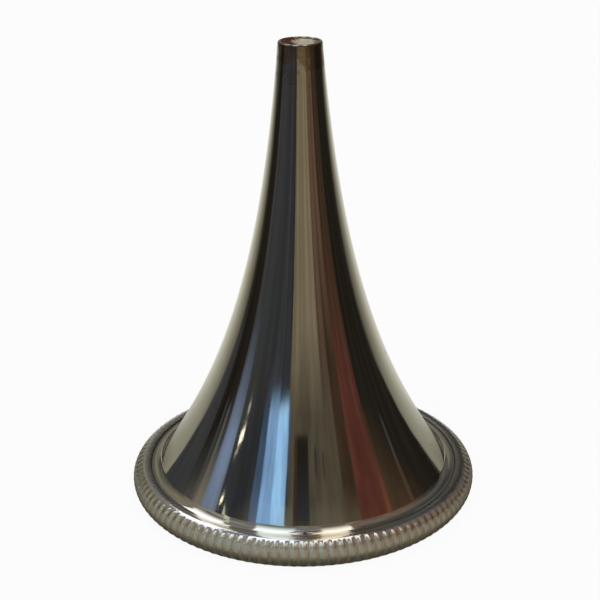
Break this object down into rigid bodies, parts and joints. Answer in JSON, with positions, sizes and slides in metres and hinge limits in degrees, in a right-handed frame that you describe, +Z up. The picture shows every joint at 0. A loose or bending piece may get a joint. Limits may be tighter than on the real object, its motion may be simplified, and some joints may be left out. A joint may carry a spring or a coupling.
{
  "type": "ear speculum",
  "caption": "Trumpet-shaped ear speculum of polished plated metal with a finely milled finger rim, for looking into the ear canal.",
  "frame": {"origin": "centre of the ring's flat underside, on the surface that the speculum stands on", "axes": "+Z up along the funnel's axis, from the wide mouth to the narrow tip; +X to the right and -Y towards the viewer of the picture"},
  "size_m": [0.031, 0.031, 0.0405],
  "materials": {
    "polished_nickel": "mirror-polished nickel plate on brass, worn thin at the tip",
    "milled_nickel": "bright nickel plate with dull dirt in the milled grooves",
    "soft_solder": "dull tin-lead solder under a thin plate"
  },
  "bodies": {
    "root": {"funnel": "polished_nickel", "milled_ring": "milled_nickel", "solder_seam": "soft_solder"}
  },
  "joints": []
}
